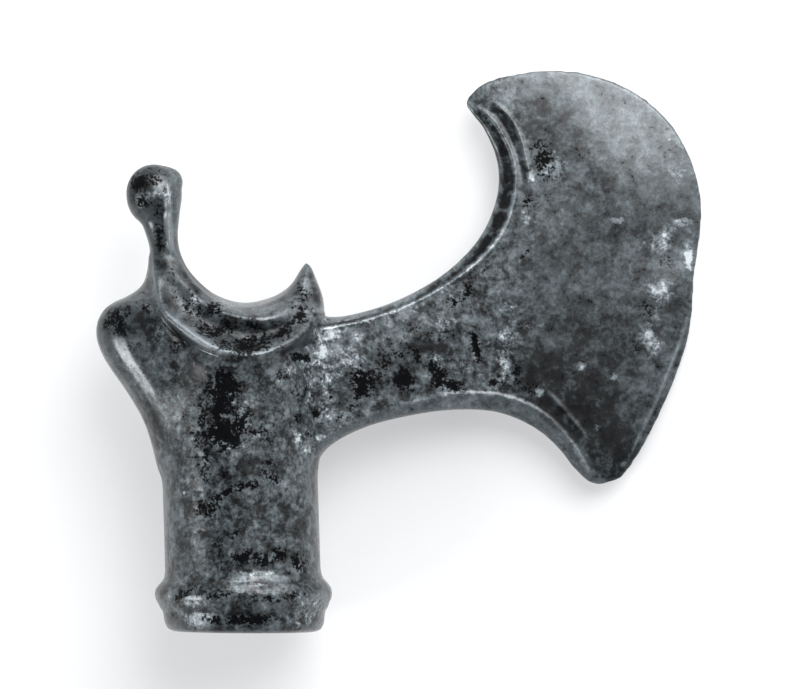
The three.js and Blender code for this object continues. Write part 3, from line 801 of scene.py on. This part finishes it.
def patch_field(groups):
    """How much of the skin belongs to the patches, on the front and in other places on the back."""
    field = np.zeros(len(place))
    for u, v, along, across, turn, closed in sum(groups.values(), []):
        reach = PATCH_REACH * max(along, across)
        cos, sin = math.cos(math.radians(turn)), math.sin(math.radians(turn))
        for side, middle in ((1, (u, v)), (-1, (u + BACK_SHIFT, BACK_SQUEEZE * v + BACK_RAISE))):
            near = np.flatnonzero((side * normal[:, 2] > 0)
                                  & (np.abs(place[:, 0] - middle[0]) < reach)
                                  & (np.abs(place[:, 1] - middle[1]) < reach))
            off_u, off_v = (place[near, :2] - middle).T
            apart = ((off_u * cos + off_v * sin) / along) ** 2 + (
                (off_v * cos - off_u * sin) / across) ** 2
            field[near] = np.maximum(field[near], closed * np.exp(-PATCH_FALL * apart))
    return field


# The head rests on its three flat spots.
positions = read_column(axe.data.vertices, "co", 3)
axe.data.vertices.foreach_set("co", np.clip(positions, *np.array(cad_box)).ravel())

# Painted shade and light on the sloping borders: painted shade round the upper end of the
# crescent, painted light beside the neck and along the lower bay, and painted shade in the groove
# and a painted highlight on the ridge beside it. For each: how much, how far from the bay or short
# of the rib, and which share of the way along the bay.
FLANK_PAINTED_SHADE, DARK_FROM_BAY, DARK_TO_RIB, DARK_ALONG = 0.6, (0.5, 1.2), (-0.9, -0.3), (0.5, 0.65)
LOWER_PAINTED_LIGHT, LOWER_TO_RIB = 0.4, (-0.6, 0.2)
UPPER_PAINTED_LIGHT, UPPER_TO_RIB, UPPER_ALONG = 0.5, (-1.2, -0.4), (0.35, 0.5)
GROOVE_PAINTED_SHADE, GROOVE_WIDTH, RIDGE_WIDTH, RIDGE_ALONG = 0.6, 0.35, 0.4, (0.6, 0.75)
painted_flank_shade = over_skin(smooth_step(*DARK_FROM_BAY, from_upper) * (
    1 - smooth_step(*DARK_TO_RIB, from_upper - upper_inset)) * smooth_step(
    *DARK_ALONG, along_upper))
lower_flank = over_skin(1 - smooth_step(*LOWER_TO_RIB, from_lower - lower_inset))
upper_flank = over_skin((1 - smooth_step(*UPPER_TO_RIB, from_upper - upper_inset)) * (
    1 - smooth_step(*UPPER_ALONG, along_upper)))
painted_groove_and_ridge = over_skin((
    GROOVE_PAINTED_SHADE * np.exp(-((from_upper - GROOVE_PLACE * upper_inset) / GROOVE_WIDTH) ** 2)
    - np.exp(-((from_upper - upper_inset) / RIDGE_WIDTH) ** 2)) * (
    1 - smooth_step(*RIDGE_ALONG, along_upper)))
# The nick in the cutting edge is painted bright, a painted highlight on its facet: middle (u, v),
# half size along u and v.
NICK = (87.6, 69, 1.1, 3)
NICK_PAINTED_LIGHT, NICK_PAINTED_HIGHLIGHT = 0.7, 0.6
nick_highlight = np.exp(-((place[:, 0] - NICK[0]) / NICK[2]) ** 2 - ((place[:, 1] - NICK[1]) / NICK[3]) ** 2)
# Less crust on the borders and towards the upper right of the blade, where u + v is large.
BORDER_CLEANER = 0.7
CORNER_CLEANER, CORNER_FROM = 0.5, (150, 176)
# Wear: high points gain and hollows lose by how much they stand out; rubbed ribs gain more, with
# their painted highlight, and so does the nick, with its painted highlight.
HOLLOW_GAIN = 14
RUBBED_HIGHLIGHT_GAIN = 0.8

# Painted shade, less the painted highlights, with the painted shade and light of the borders and the
# painted highlight of the nick.
painted_shade_and_light = np.maximum(patch_field(PAINTED_SHADES) - patch_field(PAINTED_HIGHLIGHTS), FLANK_PAINTED_SHADE * painted_flank_shade)
painted_shade_and_light -= LOWER_PAINTED_LIGHT * lower_flank + UPPER_PAINTED_LIGHT * upper_flank
painted_shade_and_light += painted_groove_and_ridge - NICK_PAINTED_LIGHT * nick_highlight
crusted *= 1 - BORDER_CLEANER * np.maximum(lower_flank, upper_flank)
crusted *= 1 - CORNER_CLEANER * smooth_step(*CORNER_FROM, place[:, 0] + place[:, 1])
wear_and_painted_highlight = np.clip(-hollow * HOLLOW_GAIN, 0, 1) - np.clip(hollow * HOLLOW_GAIN, 0, 1)
wear_and_painted_highlight += RUBBED_HIGHLIGHT_GAIN * np.clip(rubbed_highlight, 0, 1) + NICK_PAINTED_HIGHLIGHT * nick_highlight
# Each is a number for every point of the skin that the patina reads.
for name, values in (("black", patch_field(BLACK_PATCHES)), ("crust_and_highlight", patch_field(CRUST_AND_HIGHLIGHT_PATCHES)),
                     ("painted_shade_and_light", painted_shade_and_light), ("crusted", crusted), ("wear_and_painted_highlight", wear_and_painted_highlight)):
    axe.data.attributes.new(name, "FLOAT", "POINT").data.foreach_set("value", values)
# The skin keeps a third of its faces, which is all that its finest marks need.
KEPT_FACES = 0.33
bake_modifier(axe, "DECIMATE", ratio=KEPT_FACES, use_collapse_triangulate=True)

# ---------------------------------------------------------------------------------------------
# Patina. Bronze under a dark, waxed oxide skin: it shines softly, goes black where the bare
# cuprite shows, pale grey and dull where crust clings, and lighter along the rubbed edges.
# On top of that it carries painted shade where it lies in shade and painted highlights where it
# shines.
patina = new_material("patinated_bronze")
tree = patina.node_tree
# Each grain: its size in millimetres, and the noise's detail, roughness and distortion.
GRAINS = {
    "cloud": (8, 3, 0.5, 0),
    "blotch": (2.6, 5, 0.58, 0.4),
    "fleck": (0.9, 3, 0.5, 0),
    "dust": (0.45, 2, 0.6, 0),
}
TONES = [(0, "040405"), (0.16, "121415"), (0.34, "34393b"), (0.5, "4b5154"), (0.72, "5e6467"),
         (1, "9aa0a2")]
MIDDLE_TONE = 0.36
RELIEF_DEPTH = 0.12 * MM

object_place = add_node(tree, "ShaderNodeTexCoord")
on_axe = add_node(tree, "ShaderNodeMapping", {
    "Vector": object_place.outputs["Object"], "Location": mouth_centre,
    "Rotation": head_frame.to_euler(), "Scale": (MM, MM, MM)}, vector_type="TEXTURE")
cloud, blotch, fleck, dust = (
    add_node(tree, "ShaderNodeTexNoise", {
        "Vector": on_axe, "Scale": 1 / size, "Detail": detail, "Roughness": roughness,
        "Distortion": distortion})
    for size, detail, roughness, distortion in GRAINS.values())
black, crust_and_highlight, how_crusted, painted_light_level, wear_and_highlight_level = (
    add_node(tree, "ShaderNodeAttribute", attribute_name=name).outputs["Fac"]
    for name in ("black", "crust_and_highlight", "crusted", "painted_shade_and_light", "wear_and_painted_highlight"))

# The fine mix is what the eye takes for the grain of the skin. Noise runs from about 0.3 to 0.7
# around 0.5, so it is drawn out to the full range of tones, and further where the crust is.
some_dust = add_node(tree, "ShaderNodeMath", (dust, 0.12), operation="MULTIPLY")
some_flecks = add_node(tree, "ShaderNodeMath", (fleck, 0.3, some_dust), operation="MULTIPLY_ADD")
mixed = add_node(tree, "ShaderNodeMath", (blotch, 0.58, some_flecks), operation="MULTIPLY_ADD")
centred = add_node(tree, "ShaderNodeMath", (mixed, 0.5), operation="SUBTRACT")
spread = add_node(tree, "ShaderNodeMath", (how_crusted, 1.5, 0.95), operation="MULTIPLY_ADD")
grained = add_node(tree, "ShaderNodeMath", (centred, spread, MIDDLE_TONE), operation="MULTIPLY_ADD")
cloudy = add_node(tree, "ShaderNodeMath", (cloud, 0.5), operation="SUBTRACT")
clouded = add_node(tree, "ShaderNodeMath", (cloudy, 0.35, grained), operation="MULTIPLY_ADD")

# The black and the crust end in ragged borders, where the same grains push them to and fro.
rough_dust = add_node(tree, "ShaderNodeMath", (dust, 0.3), operation="MULTIPLY")
rough_flecks = add_node(tree, "ShaderNodeMath", (fleck, 0.3, rough_dust), operation="MULTIPLY_ADD")
rough_mix = add_node(tree, "ShaderNodeMath", (blotch, 0.4, rough_flecks), operation="MULTIPLY_ADD")
rough = add_node(tree, "ShaderNodeMath", (rough_mix, 0.5), operation="SUBTRACT")
ragged = add_node(tree, "ShaderNodeMath", (rough, 3.6), operation="MULTIPLY")
torn_black = add_node(tree, "ShaderNodeMath", (black, ragged), operation="SUBTRACT")
torn_crust_and_highlight = add_node(tree, "ShaderNodeMath", (ragged, 0.5, crust_and_highlight), operation="MULTIPLY_ADD")
black_share = add_node(tree, "ShaderNodeMapRange", {
    "Value": torn_black, "From Min": 0.36, "From Max": 0.7}, interpolation_type="SMOOTHSTEP")
crust_and_highlight_share = add_node(tree, "ShaderNodeMapRange", {
    "Value": torn_crust_and_highlight, "From Min": 0.26, "From Max": 0.82}, interpolation_type="SMOOTHSTEP")

# Tone, from black to pale grey: crust and the painted highlights among it lighten, painted shade
# darkens and painted highlights lighten, cuprite and the painted shade among it black out, and
# wear lightens, with the painted highlights of the ribs and the nick.
with_crust_and_highlight = add_node(tree, "ShaderNodeMath", (crust_and_highlight_share, 0.48, clouded), operation="MULTIPLY_ADD")
painted_shaded = add_node(tree, "ShaderNodeMath", (painted_light_level, -0.35, with_crust_and_highlight), operation="MULTIPLY_ADD")
not_black = add_node(tree, "ShaderNodeMath", (black_share, -0.98, 1), operation="MULTIPLY_ADD")
blackened = add_node(tree, "ShaderNodeMath", (painted_shaded, not_black), operation="MULTIPLY")
tone = add_node(tree, "ShaderNodeMath", (wear_and_highlight_level, 0.22, blackened), operation="MULTIPLY_ADD")
colours = add_node(tree, "ShaderNodeValToRGB", {"Fac": tone})
for position, colour in TONES[1:-1]:
    colours.color_ramp.elements.new(position)
for element, (position, colour) in zip(colours.color_ramp.elements, TONES):
    element.position = position
    element.color = linear(colour)

# Gloss: crust and cuprite are dull, places under painted highlights are smoother and a little
# more metallic, and places under painted shade and black places reflect less.
pale = add_node(tree, "ShaderNodeMapRange", {
    "Value": tone, "From Min": 0.45, "From Max": 0.85}, interpolation_type="SMOOTHSTEP")
dull_black = add_node(tree, "ShaderNodeMath", (black_share, 0.25, 0.27), operation="MULTIPLY_ADD")
dull = add_node(tree, "ShaderNodeMath", (pale, 0.34, dull_black), operation="MULTIPLY_ADD")
roughness = add_node(tree, "ShaderNodeMath", (painted_light_level, 0.12, dull), operation="MULTIPLY_ADD")
under_highlight = add_node(tree, "ShaderNodeMath", (painted_light_level, -1), operation="MULTIPLY", use_clamp=True)
metallic = add_node(tree, "ShaderNodeMath", (under_highlight, 0.1, 0.25), operation="MULTIPLY_ADD")
matt_black = add_node(tree, "ShaderNodeMath", (black_share, -0.45, 0.5), operation="MULTIPLY_ADD")
matt = add_node(tree, "ShaderNodeMath", (painted_light_level, -0.35, matt_black), operation="MULTIPLY_ADD")
specular = add_node(tree, "ShaderNodeMath", (0.04, matt), operation="MAXIMUM")
sunk = add_node(tree, "ShaderNodeMath", (black_share, -0.6, mixed), operation="MULTIPLY_ADD")
raised = add_node(tree, "ShaderNodeMath", (crust_and_highlight_share, 0.5, sunk), operation="MULTIPLY_ADD")
relief = add_node(tree, "ShaderNodeBump", {
    "Height": raised, "Strength": 0.32, "Distance": RELIEF_DEPTH})
bronze = add_node(tree, "ShaderNodeBsdfPrincipled", {
    "Base Color": colours, "Metallic": metallic, "Roughness": roughness,
    "Specular IOR Level": specular, "Normal": relief})
add_node(tree, "ShaderNodeOutputMaterial", {"Surface": bronze})
axe.data.materials.clear()
axe.data.materials.append(patina)
axe.data.polygons.foreach_set("use_smooth", [True] * len(axe.data.polygons))
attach(axe, "root")
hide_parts("axe_head")
